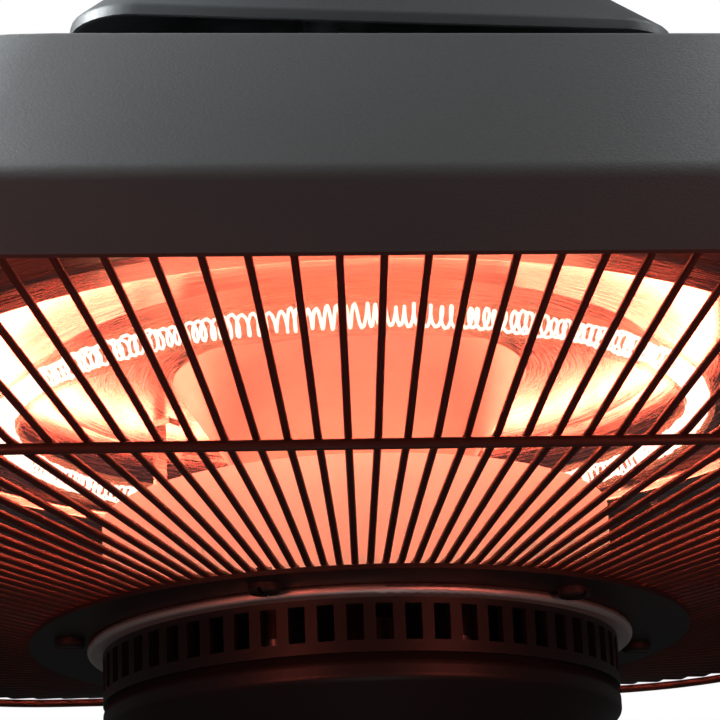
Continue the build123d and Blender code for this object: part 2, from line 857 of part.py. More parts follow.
def grille_wire(angle):
    tip = square_reach(tip_half(), hood_corner(tip_half()), angle)
    middle = square_reach(middle_half, middle_corner, angle)
    stations = [(tip, wire_tip_height), (middle, middle_height),
                (wire_flat_radius, flat_height()), (wire_end_radius, flat_height())]
    points = [(reach * cos(angle), reach * sin(angle), height) for reach, height in stations]
    path = FilletPolyline(*points, radius=(wire_middle_bend, wire_end_bend))
    return swept(path.edges(), wire_radius)


def grille_wires(group):
    """The wires of one side; group 0 is centred on the front."""
    share = wire_count // len(wire_groups)
    first = group * share - share // 2
    start = -90 + wire_turn
    pitch = 360 / wire_count
    wires = [grille_wire(radians(start + pitch * n)) for n in range(first, first + share)]
    return Compound(children=wires)


def frame_half():
    """Centre half-width of the frame wire, which lies on the wires just inside their tips."""
    return tip_half() - frame_wire_inset


def frame_height():
    slope = (wire_tip_height - middle_height) / (tip_half() - middle_half)
    lift = (wire_radius + frame_wire_radius + weld_gap) * hypot(1, slope)
    return wire_tip_height - slope * frame_wire_inset + lift


def grille_frame():
    return square_wire(frame_half(), hood_corner(frame_half()), frame_height(), frame_wire_radius)


def grille_middle():
    drop = (wire_radius + middle_wire_radius + weld_gap)
    return square_wire(middle_half, middle_corner, middle_height - drop, middle_wire_radius)


def frame_clips():
    """Sheet clips on the hood's inner wall that hook over the frame wire, one on each side."""
    low = frame_height() - frame_wire_radius
    high = low + frame_clip_height
    back = skirt_inside(high) - seat_gap
    leaf = Pos(back - frame_clip_sheet / 2, 0, (low + high) / 2)
    leaf *= Box(frame_clip_sheet, frame_clip_width, frame_clip_height)
    hook_height = 2 * frame_wire_radius + frame_clip_sheet
    hook = Pos((back + frame_half()) / 2, 0, low + hook_height / 2)
    hook *= Box(frame_half() - back, frame_clip_width, hook_height)
    channel = Pos(frame_half(), 0, frame_height()) * Rot(90, 0, 0)
    channel *= Cylinder(frame_wire_radius + weld_gap, 2 * frame_clip_width)
    return around(4, 0, 0, leaf + hook - channel)


def hub_plate():
    low = hub_plate_height - hub_plate_thickness
    plate = tube(hub_plate_radius, hub_plate_hole_radius, low, hub_plate_height)
    hole = disc(screw_shank_radius + screw_clearance, low - cut_margin, hub_plate_height + cut_margin)
    return plate - around(hub_screw_count, hub_screw_circle / 2, hub_screw_turn, hole)


def hub_screws():
    """Screws of the hub plate and of the cup, all driven from below."""
    low = hub_plate_height - hub_plate_thickness
    plate_screw = Pos(0, 0, low) * Rot(180, 0, 0) * screw(hub_plate_thickness + 3)
    cup_screw = Pos(0, 0, cup_floor) * Rot(180, 0, 0) * screw(cup_wall + 8)
    return Compound(children=[around(hub_screw_count, hub_screw_circle / 2, hub_screw_turn, plate_screw),
                              around(cup_post_count, cup_post_place, cup_post_turn, cup_screw)])


def trim_ring():
    ring = tube(trim_radius, trim_hole_radius, vent_top, trim_top)
    outer_edges = ring.edges().filter_by(GeomType.CIRCLE).sort_by(SortBy.RADIUS)[-2:]
    return fillet(outer_edges, 1.1)


def vent_ring():
    ring = tube(vent_radius, vent_radius - vent_wall, cup_top, vent_top)
    low = cup_top + vent_bottom_band
    high = vent_top - vent_top_band
    slot = Pos(0, 0, (low + high) / 2) * Box(4 * vent_wall, vent_slot_width, high - low)
    for n in range(vent_slot_count):
        ring -= Rot(0, 0, 360 * n / vent_slot_count) * Pos(vent_radius, 0, 0) * slot
    return ring


def hub_cup():
    belly = cup_top - cup_belly_drop
    wall_end = cup_top - cup_wall_drop
    outer = [(0, cup_top), (cup_edge_radius, cup_top),
             (cup_belly_radius, belly), (cup_belly_radius, wall_end),
             (cup_floor_radius, cup_floor), (0, cup_floor)]
    inner = [(0, cup_top + cut_margin), (cup_edge_radius - cup_wall, cup_top + cut_margin),
             (cup_edge_radius - cup_wall, cup_top), (cup_belly_radius - cup_wall, belly),
             (cup_belly_radius - cup_wall, wall_end),
             (cup_floor_radius - cup_wall / 2, floor_inside), (0, floor_inside)]
    solid = turned(outer)
    rims = [edge for edge in solid.edges().filter_by(GeomType.CIRCLE)
            if edge.center().Z < cup_top - cut_margin]
    solid = fillet(rims, cup_fillet)
    cup = solid - turned(inner)
    recess = disc(panel_radius + panel_clearance, cup_floor - cut_margin, cup_floor + panel_recess)
    cup -= recess
    for place in button_places():
        hole = disc(button_radius + button_clearance, cup_floor - cut_margin, floor_inside + cut_margin)
        cup -= place * hole
    cup -= Pos(0, -lens_place, 0) * disc(lens_radius, cup_floor - cut_margin, floor_inside + cut_margin)
    window = disc(receiver_radius, cup_floor - cut_margin, floor_inside + cut_margin)
    cup -= Pos(0, receiver_place, 0) * window
    screw_hole = disc(screw_shank_radius + screw_clearance, cup_floor - cut_margin, floor_inside + cut_margin)
    return cup - around(cup_post_count, cup_post_place, cup_post_turn, screw_hole)


def control_panel():
    """Thin round plate in the cup floor's recess, with the openings of the controls."""
    plate = disc(panel_radius, cup_floor, cup_floor + panel_recess)
    for place in button_places():
        plate -= place * disc(button_radius + button_clearance, cup_floor - cut_margin, floor_inside)
    plate -= Pos(0, -lens_place, 0) * disc(lens_radius, cup_floor - cut_margin, floor_inside)
    return plate - Pos(0, receiver_place, 0) * disc(receiver_radius, cup_floor - cut_margin, floor_inside)


def button_places():
    return Pos(-button_place, 0, 0), Pos(button_place, 0, 0)


def chassis():
    return tube(chassis_radius, stem_radius + stem_clearance, chassis_bottom, vent_top)


def cup_posts():
    post = tube(cup_post_radius, screw_shank_radius, floor_inside, chassis_bottom)
    return around(cup_post_count, cup_post_place, cup_post_turn, post)


def control_board():
    middle = (board_bottom + board_top) / 2
    board = Pos(0, 0, middle) * Box(board_length, board_width, board_thickness)
    hole = disc(screw_shank_radius, board_bottom - cut_margin, board_top + cut_margin)
    stem_hole = disc(stem_radius + 3, board_bottom - cut_margin, board_top + cut_margin)
    return board - at_corners(board_post_place, hole) - stem_hole


def board_posts():
    post = tube(board_post_radius, screw_shank_radius / 2, board_top, chassis_bottom)
    return at_corners(board_post_place, post)


def board_parts():
    """Relays and a capacitor on the board's upper side."""
    relay = Pos(0, 0, board_top + relay_height / 2) * Box(relay_length, relay_width, relay_height)
    can = disc(can_radius, board_top, board_top + relay_height)
    return Compound(children=[Pos(-relay_place, 0, 0) * relay, Pos(relay_place, relay_offset, 0) * relay,
                              Pos(can_place, -can_place, 0) * can])


def switches():
    box = Pos(0, 0, board_bottom - switch_height / 2) * Box(switch_size, switch_size, switch_height)
    return Compound(children=[place * box for place in button_places()])


def button(place):
    flange_low = floor_inside + seat_gap
    flange_high = flange_low + button_flange_thickness
    cap = disc(button_radius, cup_floor - button_proud, flange_low)
    cap = fillet(cap.edges().sort_by(Axis.Z)[0], 1)
    flange = disc(button_flange_radius, flange_low, flange_high)
    plunger_top = board_bottom - switch_height - button_travel - button_reserve
    plunger = disc(button_stem_radius, flange_high, plunger_top)
    return place * (cap + flange + plunger)


def button_spring(place, name):
    low = floor_inside + seat_gap + button_flange_thickness + 2 * spring_wire_radius
    high = board_bottom - 2 * spring_wire_radius

    def centre_line(part):
        return Vector(0, 0, low + (high - low) * part), Vector(1, 0, 0), Vector(0, 1, 0)

    return place * wound_tube(centre_line, spring_turns, spring_radius, spring_wire_radius, name)


def indicator_lens():
    lens = disc(lens_radius, cup_floor - 0.8, floor_inside)
    lens = fillet(lens.edges().sort_by(Axis.Z)[0], 0.7)
    return Pos(0, -lens_place, 0) * lens


def receiver_window():
    return Pos(0, receiver_place, 0) * disc(receiver_radius, cup_floor, cup_floor + window_thickness)


def top_screws():
    """Screws of the top plate and of the wiring box's lid."""
    plate_screw = Pos(0, 0, top_plate_top) * screw(top_plate_thickness + hood_sheet + 4)
    lid_screw = Pos(0, 0, lid_top) * screw(box_lid_thickness + 8)
    return Compound(children=[at_corners(plate_screw_place, plate_screw),
                              at_corners(box_screw_place, lid_screw)])


def post_screws():
    """Screws through the heat shield from below and through the hood's top from above."""
    low = reflector_foot_height + reflector_sheet
    from_below = Pos(0, 0, low) * Rot(180, 0, 0) * screw(shield_sheet + 9)
    from_above = Pos(0, 0, top_height) * screw(hood_sheet + 9)
    both = Compound(children=[from_below, from_above])
    return at_corners(post_place, both)


def build():
    save("ceiling_plate", ceiling_plate())
    save("pivot_bracket", bracket())
    save("bracket_rivets", bracket_rivets())
    save("pivot_pin", pivot_pin())
    save("pin_clip", pin_clip())
    save("hanging_yoke", yoke())
    save("stem_tube", stem())
    save("stem_nuts", Compound(children=[nut(low) for low in nut_places()]))
    save("stem_washers", Compound(children=[washer(low) for low in washer_places()]))
    save("roof_cap", roof_cap())
    save("cap_spacer", cap_spacer())
    save("wiring_box", wiring_box())
    save("wiring_box_lid", box_lid())
    save("terminal_block", terminal_block())
    save("earth_stud", earth_stud())
    save("cable_gland", cable_gland())
    save("gland_nut", gland_nut())
    save("top_plate", top_plate())
    save("top_screws", top_screws())
    save("hood_shell", hood())
    save("shield_posts", shield_posts())
    save("post_screws", post_screws())
    save("heat_shield", heat_shield())
    save("reflector_pan", reflector())
    save("core_cone", core_cone())
    save("lamp_tube", lamp_tube())
    save("lamp_filament", filament())
    save("lamp_seals", lamp_seals())
    save("lamp_end_caps", lamp_end_caps())
    save("lamp_leads", lamp_leads())
    save("lamp_clips", lamp_clips())
    save("reflector_drum", drum())
    save("drum_base", drum_base())
    save("drum_insulation", insulation())
    save("drum_stays", drum_stays())
    for group, name in enumerate(wire_groups):
        save(f"grille_wires_{name}", grille_wires(group))
    save("grille_frame_wire", grille_frame())
    save("grille_middle_wire", grille_middle())
    save("frame_clips", frame_clips())
    save("hub_plate", hub_plate())
    save("hub_screws", hub_screws())
    save("trim_ring", trim_ring())
    save("vent_ring", vent_ring())
    save("hub_chassis", chassis())
    save("hub_cup", hub_cup())
    save("cup_posts", cup_posts())
    save("control_panel", control_panel())
    save("control_board", control_board())
    save("board_posts", board_posts())
    save("board_parts", board_parts())
    save("button_switches", switches())
    power_place, heat_place = button_places()
    save("power_button", button(power_place))
    save("heat_button", button(heat_place))
    save("power_spring", button_spring(power_place, "power_spring"))
    save("heat_spring", button_spring(heat_place, "heat_spring"))
    save("indicator_lens", indicator_lens())
    save("receiver_window", receiver_window())


build()
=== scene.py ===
# %% [markdown]
# # A glowing ceiling heater
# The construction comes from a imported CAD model: every bought or machined piece is already there at
# its real size. This lesson adds what the eye sees: the pressed hood and roof cap, the white-hot coil, a
# finish for every piece, and soft light. All lengths are in metres, +Z is up, and the origin is where the
# heater meets the ceiling. The heater's front faces -Y.

import math
import random

import bpy
from mathutils import Matrix, Vector


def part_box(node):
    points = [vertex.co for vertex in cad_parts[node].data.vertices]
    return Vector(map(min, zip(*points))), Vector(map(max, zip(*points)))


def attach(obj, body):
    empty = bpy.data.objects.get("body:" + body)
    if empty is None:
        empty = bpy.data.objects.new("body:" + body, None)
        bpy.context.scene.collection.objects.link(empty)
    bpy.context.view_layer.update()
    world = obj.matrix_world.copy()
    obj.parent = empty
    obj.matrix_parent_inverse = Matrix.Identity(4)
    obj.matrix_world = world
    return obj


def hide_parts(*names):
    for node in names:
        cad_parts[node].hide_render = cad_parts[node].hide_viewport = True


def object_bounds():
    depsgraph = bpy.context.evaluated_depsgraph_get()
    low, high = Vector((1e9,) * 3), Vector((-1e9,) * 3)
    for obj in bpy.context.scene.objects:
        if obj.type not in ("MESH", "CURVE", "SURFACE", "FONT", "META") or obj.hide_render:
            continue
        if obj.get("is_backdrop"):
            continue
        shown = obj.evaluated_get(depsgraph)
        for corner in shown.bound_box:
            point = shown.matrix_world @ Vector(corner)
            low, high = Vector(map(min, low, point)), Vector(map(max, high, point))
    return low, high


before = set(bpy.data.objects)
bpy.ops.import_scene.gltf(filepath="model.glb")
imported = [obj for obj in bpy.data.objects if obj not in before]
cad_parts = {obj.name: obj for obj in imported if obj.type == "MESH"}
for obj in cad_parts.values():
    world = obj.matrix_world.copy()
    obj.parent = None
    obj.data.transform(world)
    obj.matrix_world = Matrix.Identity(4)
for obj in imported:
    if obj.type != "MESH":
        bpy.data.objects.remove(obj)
cad_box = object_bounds()
MM = 0.001

# %% [markdown]
# Most heights are easiest to give in millimetres above the hood's rim plane. The CAD model has the pieces
# at their places, so that plane is found from the lowest point of the hood, which stands just above it.

# %% Heights from the frame
HOOD_FOOT = 0.9
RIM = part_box("hood_shell")[0].z - HOOD_FOOT * MM
print("hood rim height:", round(RIM, 4))

# %% [markdown]
# ## The camera
# The picture is taken from below and in front, with a long lens, so the near side of the hood fills the
# frame while the hub hangs into its lower edge. The lens, the pitch, the small turn and the small roll
# were worked out from the hood's straight edges and the round lamp.

# %% Camera
LENS = 130
SENSOR = 36
PITCH = 0.3048
TURN = -0.0953
ROLL = -0.040
CAMERA_PLACE = Vector((-0.0627, -0.6882, RIM - 0.1716))

camera_data = bpy.data.cameras.new("camera")
camera_data.lens = LENS
camera_data.sensor_width = SENSOR
camera = bpy.data.objects.new("camera", camera_data)
bpy.context.scene.collection.objects.link(camera)
aim = Matrix.Rotation(TURN, 4, "Z") @ Matrix.Rotation(math.pi / 2 + PITCH, 4, "X")
camera.matrix_world = Matrix.Translation(CAMERA_PLACE) @ aim @ Matrix.Rotation(ROLL, 4, "Z")
bpy.context.scene.camera = camera
print("camera at", [round(v, 3) for v in CAMERA_PLACE])

# %% [markdown]
# ## Working like a modeller, in code
# Operators act on whatever is selected, so each step first deselects everything. Four small helpers keep
# that tidy: one picks a single object, one opens a fresh empty mesh in edit mode, one closes it again, and
# one applies the modifiers.

# %% Selection helpers
SAME_PLACE = 1e-6
SMOOTH_ANGLE = math.radians(30)


def only(piece):
    bpy.ops.object.select_all(action="DESELECT")
    piece.select_set(True)
    bpy.context.view_layer.objects.active = piece


def start_mesh(name):
    piece = bpy.data.objects.new(name, bpy.data.meshes.new(name))
    bpy.context.scene.collection.objects.link(piece)
    only(piece)
    bpy.ops.object.mode_set(mode="EDIT")
    return piece


def end_mesh():
    bpy.ops.mesh.select_all(action="SELECT")
    bpy.ops.mesh.remove_doubles(threshold=SAME_PLACE)
    bpy.ops.mesh.normals_make_consistent(inside=False)
    bpy.ops.object.mode_set(mode="OBJECT")
    bpy.ops.object.shade_smooth_by_angle(angle=SMOOTH_ANGLE)


def apply_all(piece):
    only(piece)
    for modifier in list(piece.modifiers):
        bpy.ops.object.modifier_apply(modifier=modifier.name)


print("edges are sharp past", round(math.degrees(SMOOTH_ANGLE)), "degrees")

# %% [markdown]
# ## Effects shared by several finishes
# Powder coat, moulded plastic and cast ceramic all have a fine grain. Spun and drawn metal has lines that
# follow the tool. Each effect is one node group with named inputs, built once and placed in each material
# with its own values. The groups give masks and heights; the shader stays in the material.

# %% Node group helper
def new_group(name, inputs, outputs):
    group = bpy.data.node_groups.new(name, "ShaderNodeTree")
    for label, value in inputs.items():
        socket = group.interface.new_socket(label, in_out="INPUT", socket_type="NodeSocketFloat")
        socket.default_value = value
    for label in outputs:
        group.interface.new_socket(label, in_out="OUTPUT", socket_type="NodeSocketFloat")
    start = group.nodes.new("NodeGroupInput")
    end = group.nodes.new("NodeGroupOutput")
    return group, start, end


def add_math(tree, operation, first, second=None):
    node = tree.nodes.new("ShaderNodeMath")
    node.operation = operation
    for place, value in enumerate((first, second)):
        if value is None:
            continue
        if isinstance(value, (int, float)):
            node.inputs[place].default_value = value
        else:
            tree.links.new(value, node.inputs[place])
    return node.outputs[0]


def add_noise(tree, vector, scale, detail, roughness):
    node = tree.nodes.new("ShaderNodeTexNoise")
    node.inputs["Detail"].default_value = detail
    node.inputs["Roughness"].default_value = roughness
    tree.links.new(vector, node.inputs["Vector"])
    if isinstance(scale, (int, float)):
        node.inputs["Scale"].default_value = scale
    else:
        tree.links.new(scale, node.inputs["Scale"])
    return node.outputs["Fac"]


def add_range(tree, value, low, high, to_low, to_high):
    node = tree.nodes.new("ShaderNodeMapRange")
    for place, number in zip(("From Min", "From Max", "To Min", "To Max"), (low, high, to_low, to_high)):
        node.inputs[place].default_value = number
    tree.links.new(value, node.inputs["Value"])
    return node.outputs["Result"]


# %% Grain group: fine bumps and broad cloudiness
grain, grain_in, grain_out = new_group(
    "surface_grain", {"Fine Scale": 1800.0, "Broad Scale": 30.0}, ("Fine", "Broad"))
place = grain.nodes.new("ShaderNodeTexCoord").outputs["Object"]
fine = add_noise(grain, place, grain_in.outputs["Fine Scale"], detail=3.0, roughness=0.6)
broad = add_noise(grain, place, grain_in.outputs["Broad Scale"], detail=4.0, roughness=0.55)
grain.links.new(fine, grain_out.inputs["Fine"])
grain.links.new(broad, grain_out.inputs["Broad"])
print("made group", grain.name)

# %% [markdown]
# A lathe or a brush that turns about the axis leaves lines that are the same all the way round, so they
# depend on the distance from the axis and on the height, and only a little on the direction. A sleeve that
# was drawn through a die has lines along it instead, which depend on the direction alone.

# %% Places round the axis
def add_polar(tree):
    """Distance from the axis, direction round it and height, from Object coordinates."""
    coordinates = tree.nodes.new("ShaderNodeTexCoord").outputs["Object"]
    split = tree.nodes.new("ShaderNodeSeparateXYZ")
    tree.links.new(coordinates, split.inputs[0])
    x, y, z = split.outputs
    squares = add_math(tree, "ADD", add_math(tree, "MULTIPLY", x, x), add_math(tree, "MULTIPLY", y, y))
    return add_math(tree, "SQRT", squares), add_math(tree, "ARCTAN2", y, x), z


def add_vector(tree, *parts):
    node = tree.nodes.new("ShaderNodeCombineXYZ")
    for place, part in enumerate(parts):
        if isinstance(part, (int, float)):
            node.inputs[place].default_value = part
        else:
            tree.links.new(part, node.inputs[place])
    return node.outputs[0]


# %% Spun-lines group
LINE_DRIFT = 0.0006
LINE_WANDER = 0.002
STREAK_WANDER = 0.03
STREAK_SCALE = 120.0

spun, spun_in, spun_out = new_group("spun_lines", {"Lines Scale": 900.0}, ("Lines", "Streaks"))
distance, direction, height = add_polar(spun)
both = add_math(spun, "ADD", distance, height)
drifting = add_math(spun, "ADD", both, add_math(spun, "MULTIPLY", direction, LINE_DRIFT))
line_place = add_vector(spun, drifting, add_math(spun, "MULTIPLY", direction, LINE_WANDER), 0.0)
lines = add_noise(spun, line_place, spun_in.outputs["Lines Scale"], detail=5.0, roughness=0.7)
spun.links.new(lines, spun_out.inputs["Lines"])
streak_place = add_vector(spun, both, add_math(spun, "MULTIPLY", direction, STREAK_WANDER), 0.0)
streaks = add_noise(spun, streak_place, STREAK_SCALE, detail=3.0, roughness=0.6)
spun.links.new(streaks, spun_out.inputs["Streaks"])
print("made group", spun.name)

# %% Drawn-lines group
SLEEVE_LINE_STRETCH = 0.4
SLEEVE_STREAK_STRETCH = 2.0
SLEEVE_STREAK_SCALE = 9.0

drawn, drawn_in, drawn_out = new_group("drawn_lines", {"Lines Scale": 60.0}, ("Lines", "Streaks"))
distance, direction, height = add_polar(drawn)
line_place = add_vector(drawn, direction, add_math(drawn, "MULTIPLY", height, SLEEVE_LINE_STRETCH), 0.0)
lines = add_noise(drawn, line_place, drawn_in.outputs["Lines Scale"], detail=5.0, roughness=0.7)
drawn.links.new(lines, drawn_out.inputs["Lines"])
streak_place = add_vector(drawn, direction, add_math(drawn, "MULTIPLY", height, SLEEVE_STREAK_STRETCH), 0.0)
streaks = add_noise(drawn, streak_place, SLEEVE_STREAK_SCALE, detail=3.0, roughness=0.6)
drawn.links.new(streaks, drawn_out.inputs["Streaks"])
print("made group", drawn.name)

# %% [markdown]
# ## Finishes
# `finish` starts every material: a Principled shader with its plain values. `mixed` varies a colour by a
# mask, `shaded` darkens or lightens one, and `bumped` turns a height into relief, with the real depth of
# the grain in metres.

# %% Material helpers
def finish(name, colour, roughness, metallic=0.0, **sockets):
    material = bpy.data.materials.new(name)
    material.use_nodes = True
    shader = material.node_tree.nodes["Principled BSDF"]
    shader.inputs["Base Color"].default_value = (*colour, 1)
    shader.inputs["Roughness"].default_value = roughness
    shader.inputs["Metallic"].default_value = metallic
    for label, value in sockets.items():
        shader.inputs[label.replace("_", " ")].default_value = value
    return material, material.node_tree, shader


def place_group(tree, group, **values):
    node = tree.nodes.new("ShaderNodeGroup")
    node.node_tree = group
    for label, value in values.items():
        node.inputs[label.replace("_", " ")].default_value = value
    return node


def shaded(colour, factor):
    return [factor * part for part in colour]


def mixed(tree, shader, mask, low, high, socket="Base Color"):
    node = tree.nodes.new("ShaderNodeMix")
    node.data_type = "RGBA"
    node.inputs["A"].default_value = (*low, 1)
    node.inputs["B"].default_value = (*high, 1)
    tree.links.new(mask, node.inputs["Factor"])
    tree.links.new(node.outputs["Result"], shader.inputs[socket])


def bumped(tree, shader, height, depth, strength):
    node = tree.nodes.new("ShaderNodeBump")
    node.inputs["Strength"].default_value = strength
    node.inputs["Distance"].default_value = depth
    tree.links.new(height, node.inputs["Height"])
    tree.links.new(node.outputs["Normal"], shader.inputs["Normal"])


# %% Powder coat, for the hood and the roof cap
POWDER_ROUGHNESS = 0.5


def powder_coat(name, colour):
    material, tree, shader = finish(name, colour, POWDER_ROUGHNESS, Specular_IOR_Level=0.42)
    texture = place_group(tree, grain, Fine_Scale=1500, Broad_Scale=14)
    mixed(tree, shader, texture.outputs["Broad"], shaded(colour, 0.82), shaded(colour, 1.18))
    speckle = add_range(
        tree, texture.outputs["Fine"], 0.25, 0.75, POWDER_ROUGHNESS - 0.1, POWDER_ROUGHNESS + 0.12)
    tree.links.new(speckle, shader.inputs["Roughness"])
    bumped(tree, shader, texture.outputs["Fine"], 0.00012, 0.55)
    return material


hood_paint = powder_coat("hood_powder_coat", (0.036, 0.037, 0.038))
cap_paint = powder_coat("cap_powder_coat", (0.028, 0.030, 0.031))
print("made", hood_paint.name, cap_paint.name)

# %% [markdown]
# The reflector is spun on a lathe, so its lines run round the axis, and the sleeve between reflector and
# hub is drawn, so its lines run along it. The cone and the sleeve also get a faint warm glow, which is
# painted light: an emission that stands in for the light that goes to and fro between the bright metals
# more often than the render follows it.

# %% Spun and drawn aluminium, for the reflector, the cone and the drum
# Colour and strengths of the painted bounce glow on the cone and the drum.
WARM = (1.0, 0.52, 0.3)
CONE_PAINTED_GLOW = 0.05
DRUM_PAINTED_GLOW = 0.36


def bright_aluminium(name, group, scale, roughness, tint):
    material, tree, shader = finish(name, tint, roughness, 1.0)
    texture = place_group(tree, group, Lines_Scale=scale)
    lines = add_range(tree, texture.outputs["Lines"], 0.3, 0.7, roughness - 0.08, roughness + 0.12)
    tree.links.new(lines, shader.inputs["Roughness"])
    mixed(tree, shader, texture.outputs["Streaks"], shaded(tint, 0.86), tint)
    bumped(tree, shader, texture.outputs["Lines"], 0.00003, 0.5)
    return material, shader


# Painted light: a warm emission on the metal that stands in for light bounced between the bright metals.
def painted_bounce_glow(shader, strength):
    shader.inputs["Emission Color"].default_value = (*WARM, 1)
    shader.inputs["Emission Strength"].default_value = strength


pan_metal, shader = bright_aluminium("spun_aluminium", spun, 1400, 0.24, (0.88, 0.84, 0.81))
cone_metal, shader = bright_aluminium("turned_aluminium", spun, 1100, 0.5, (0.9, 0.87, 0.84))
painted_bounce_glow(shader, CONE_PAINTED_GLOW)
drum_metal, shader = bright_aluminium("drawn_aluminium", drawn, 55, 0.55, (0.95, 0.93, 0.91))
painted_bounce_glow(shader, DRUM_PAINTED_GLOW)
print("made", pan_metal.name, cone_metal.name, drum_metal.name)

# %% [markdown]
# ## Fire
# A radiant lamp is deep orange-red and far brighter than a camera can hold: its red is overexposed long
# before its green and blue. The coil sends out one such light, and the picture's own clipping turns the
# metal that it lights into yellow and then white. The camera sees the coil itself weaker and paler, so
# that its turns stay apart in the tube, and the hot tube glows orange all over.

# %% The coil and its quartz tube
GLOW = (1.0, 0.115, 0.062)
COIL_LIGHT = 92
COIL_SEEN = 3
TUBE_STRENGTH = 0.45

coil_glow, tree, shader = finish(
    "white_hot_coil", (0.02, 0.02, 0.02), 0.6, Emission_Color=(*GLOW, 1), Emission_Strength=COIL_LIGHT)
seen = tree.nodes.new("ShaderNodeLightPath").outputs["Is Camera Ray"]
tree.links.new(add_range(tree, seen, 0, 1, COIL_LIGHT, COIL_SEEN), shader.inputs["Emission Strength"])
texture = place_group(tree, grain, Fine_Scale=400, Broad_Scale=60)
shades = tree.nodes.new("ShaderNodeMix")
shades.data_type = "RGBA"
shades.inputs["A"].default_value = (*GLOW, 1)
tree.links.new(seen, shades.inputs["Factor"])
tree.links.new(shades.outputs["Result"], shader.inputs["Emission Color"])
mixed(tree, shades, texture.outputs["Broad"], (1.0, 0.62, 0.42), (1.0, 0.95, 0.85), "B")

quartz, tree, shader = finish("quartz_tube", (0.04, 0.09, 0.08), 0.12, Alpha=0.25, Specular_IOR_Level=0.04)
shader.inputs["Emission Strength"].default_value = TUBE_STRENGTH
texture = place_group(tree, spun, Lines_Scale=300)
mixed(tree, shader, texture.outputs["Streaks"], (1.0, 0.16, 0.08), (1.0, 0.24, 0.13), "Emission Color")
print("coil strength", COIL_LIGHT, "seen as", COIL_SEEN)

# %% [markdown]
# ## Coats, plastics and small metals
# The wires and the hub's inner plates have a dark coat that stands the heat, the hub itself is moulded
# plastic, and the hanging parts are zinc-plated steel. Each kind is one function, and its pieces differ in
# colour and grain.

# %% Dark heat-resistant coat, for the grille and the hub plate
def dark_coat(name, colour, roughness):
    material, tree, shader = finish(name, colour, roughness, Specular_IOR_Level=0.4)
    texture = place_group(tree, grain, Fine_Scale=2600, Broad_Scale=60)
    mixed(tree, shader, texture.outputs["Broad"], shaded(colour, 0.7), shaded(colour, 1.4))
    bumped(tree, shader, texture.outputs["Fine"], 0.00008, 0.6)
    return material


# The grille coat is dark, and its red-brown tint is painted light that stands in for the lamp's red glow on
# the wires.
wire_coat = dark_coat("grille_coat", (0.040, 0.022, 0.018), 0.38)
plate_coat = dark_coat("hub_plate_coat", (0.020, 0.017, 0.016), 0.5)
print("made", wire_coat.name, plate_coat.name)


# %% Moulded plastic, satin metal and the small things
def moulded(name, colour, roughness, fine=900, depth=0.00015):
    material, tree, shader = finish(name, colour, roughness, Specular_IOR_Level=0.45)
    texture = place_group(tree, grain, Fine_Scale=fine, Broad_Scale=25)
    mixed(tree, shader, texture.outputs["Broad"], shaded(colour, 0.85), shaded(colour, 1.15))
    bumped(tree, shader, texture.outputs["Fine"], depth, 0.4)
    return material


def satin_metal(name, colour, roughness):
    material, tree, shader = finish(name, colour, roughness, 1.0)
    texture = place_group(tree, spun, Lines_Scale=700)
    lines = add_range(tree, texture.outputs["Lines"], 0.3, 0.7, roughness - 0.1, roughness + 0.12)
    tree.links.new(lines, shader.inputs["Roughness"])
    mixed(tree, shader, texture.outputs["Streaks"], shaded(colour, 0.8), colour)
    return material


hub_plastic = moulded("hub_plastic", (0.012, 0.012, 0.0115), 0.42)
panel_plastic = moulded("panel_plastic", (0.018, 0.018, 0.018), 0.32)
button_plastic = moulded("button_plastic", (0.09, 0.09, 0.09), 0.4)
gland_plastic = moulded("gland_plastic", (0.02, 0.02, 0.021), 0.4)
board_green = moulded("solder_mask", (0.02, 0.16, 0.06), 0.35, 3000)
relay_black = moulded("relay_case", (0.02, 0.02, 0.025), 0.35)
ceramic = moulded("ceramic", (0.82, 0.79, 0.73), 0.6, 1500, 0.0002)
fibre = moulded("ceramic_fibre", (0.8, 0.77, 0.7), 0.9, 700, 0.0006)
lead_sleeve = moulded("glass_fibre_sleeve", (0.72, 0.68, 0.6), 0.8, 2500, 0.0003)
window_red = moulded("receiver_window", (0.02, 0.002, 0.006), 0.08, 300, 0.00001)
trim_metal = satin_metal("trim_metal", (0.95, 0.96, 0.93), 0.5)
zinc = satin_metal("zinc_plate", (0.62, 0.63, 0.64), 0.34)
seal_metal = satin_metal("seal_metal", (0.55, 0.5, 0.46), 0.4)
shield_metal = satin_metal("shield_metal", (0.62, 0.58, 0.55), 0.3)
LENS_GLOW = 0.8
lens_red, tree, shader = finish("indicator_lens", (0.8, 0.06, 0.03), 0.12, Emission_Strength=LENS_GLOW)
texture = place_group(tree, grain, Fine_Scale=900, Broad_Scale=80)
mixed(tree, shader, texture.outputs["Broad"], (0.6, 0.03, 0.02), (1.0, 0.12, 0.05), "Emission Color")
print("finishes so far:", len(bpy.data.materials))

# %% [markdown]
# ## Dressing the CAD nodes
# Pieces whose CAD shape is right only need their finish, so each gets its material in its own slots.

